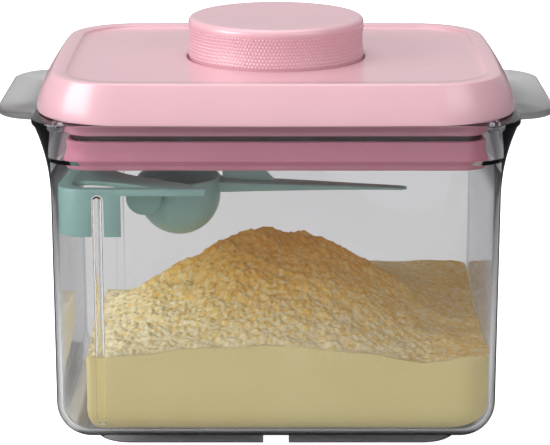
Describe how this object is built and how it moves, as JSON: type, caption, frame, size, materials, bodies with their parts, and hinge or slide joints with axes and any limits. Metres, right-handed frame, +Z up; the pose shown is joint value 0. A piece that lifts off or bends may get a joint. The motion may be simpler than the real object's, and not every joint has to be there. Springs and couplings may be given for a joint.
{
  "type": "formula dispenser",
  "caption": "Clear airtight powder tub with grip ears, push-button sealing lid, scoop and leveller.",
  "frame": {"origin": "middle of the footprint, on the surface that the tub's foot ring stands on", "axes": "+X along the long side towards the right ear, +Y to the back, +Z up; the front faces -Y"},
  "size_m": [0.193, 0.1242, 0.1451],
  "materials": {
    "clear_plastic": "clear, polished",
    "pink_plastic": "satin gloss",
    "rose_plastic": "satin",
    "silicone": "translucent, matt",
    "white_plastic": "satin",
    "green_plastic": "satin",
    "steel": "bright",
    "powder": "loose powder"
  },
  "bodies": {
    "tub": {"container_body": "clear_plastic", "formula_powder": "powder"},
    "leveller": {"leveller": "green_plastic"},
    "lid": {"lid_cover": "pink_plastic", "lid_pan": "rose_plastic", "lid_screw_left_front": "steel", "lid_screw_left_rear": "steel", "lid_screw_right_front": "steel", "lid_screw_right_rear": "steel", "pivot_pin_left_front": "steel", "pivot_pin_left_rear": "steel", "pivot_pin_right_front": "steel", "pivot_pin_right_rear": "steel", "gasket": "silicone", "return_spring": "steel"},
    "clamp": {"clamp_plate": "rose_plastic"},
    "scoop": {"scoop": "green_plastic"},
    "button": {"button_cap": "pink_plastic", "button_stem": "white_plastic"},
    "lever_left_front": {"lever_left_front": "white_plastic"},
    "lever_left_rear": {"lever_left_rear": "white_plastic"},
    "lever_right_front": {"lever_right_front": "white_plastic"},
    "lever_right_rear": {"lever_right_rear": "white_plastic"},
    "follower": {"latch_follower": "steel"}
  },
  "joints": [
    {"name": "lid_lift", "type": "slide", "parent": "tub", "child": "lid", "axis": [0, 0, 1], "range_m": [0, 0.12]},
    {"name": "leveller_lift", "type": "slide", "parent": "tub", "child": "leveller", "axis": [0, 0, 1], "range_m": [0, 0.005]},
    {"name": "button_press", "type": "slide", "parent": "lid", "child": "button", "axis": [0, 0, 1], "range_m": [-0.0115, 0], "stiffness_N_per_m": 250, "springref_m": 0.012, "deforming": ["return_spring"]},
    {"name": "clamp_lift", "type": "slide", "parent": "lid", "child": "clamp", "axis": [0, 0, 1], "range_m": [0, 0.0024], "deforming": ["gasket"]},
    {"name": "scoop_unclip", "type": "slide", "parent": "clamp", "child": "scoop", "axis": [0, 0, 1], "range_m": [-0.01, 0]},
    {"name": "lever_left_front_tilt", "type": "hinge", "parent": "lid", "child": "lever_left_front", "pos_m": [-0.0373, -0.011, 0.115], "axis": [0, -1, 0], "range_deg": [-26.3, 0]},
    {"name": "lever_left_rear_tilt", "type": "hinge", "parent": "lid", "child": "lever_left_rear", "pos_m": [-0.0373, 0.011, 0.115], "axis": [0, -1, 0], "range_deg": [-26.3, 0]},
    {"name": "lever_right_front_tilt", "type": "hinge", "parent": "lid", "child": "lever_right_front", "pos_m": [0.0373, -0.011, 0.115], "axis": [0, 1, 0], "range_deg": [-26.3, 0]},
    {"name": "lever_right_rear_tilt", "type": "hinge", "parent": "lid", "child": "lever_right_rear", "pos_m": [0.0373, 0.011, 0.115], "axis": [0, 1, 0], "range_deg": [-26.3, 0]},
    {"name": "follower_swing", "type": "hinge", "parent": "lid", "child": "follower", "pos_m": [0, 0.0165, 0.1105], "axis": [0, 1, 0], "range_deg": [0, 17.4], "stiffness_Nm_per_rad": 0.0005}
  ],
  "couplings": [
    {"joint": "clamp_lift", "follows": "button_press", "ratio": -0.2087},
    {"joint": "lever_left_front_tilt", "follows": "button_press", "rad_per_m": 39.87},
    {"joint": "lever_left_rear_tilt", "follows": "button_press", "rad_per_m": 39.87},
    {"joint": "lever_right_front_tilt", "follows": "button_press", "rad_per_m": 39.87},
    {"joint": "lever_right_rear_tilt", "follows": "button_press", "rad_per_m": 39.87}
  ]
}
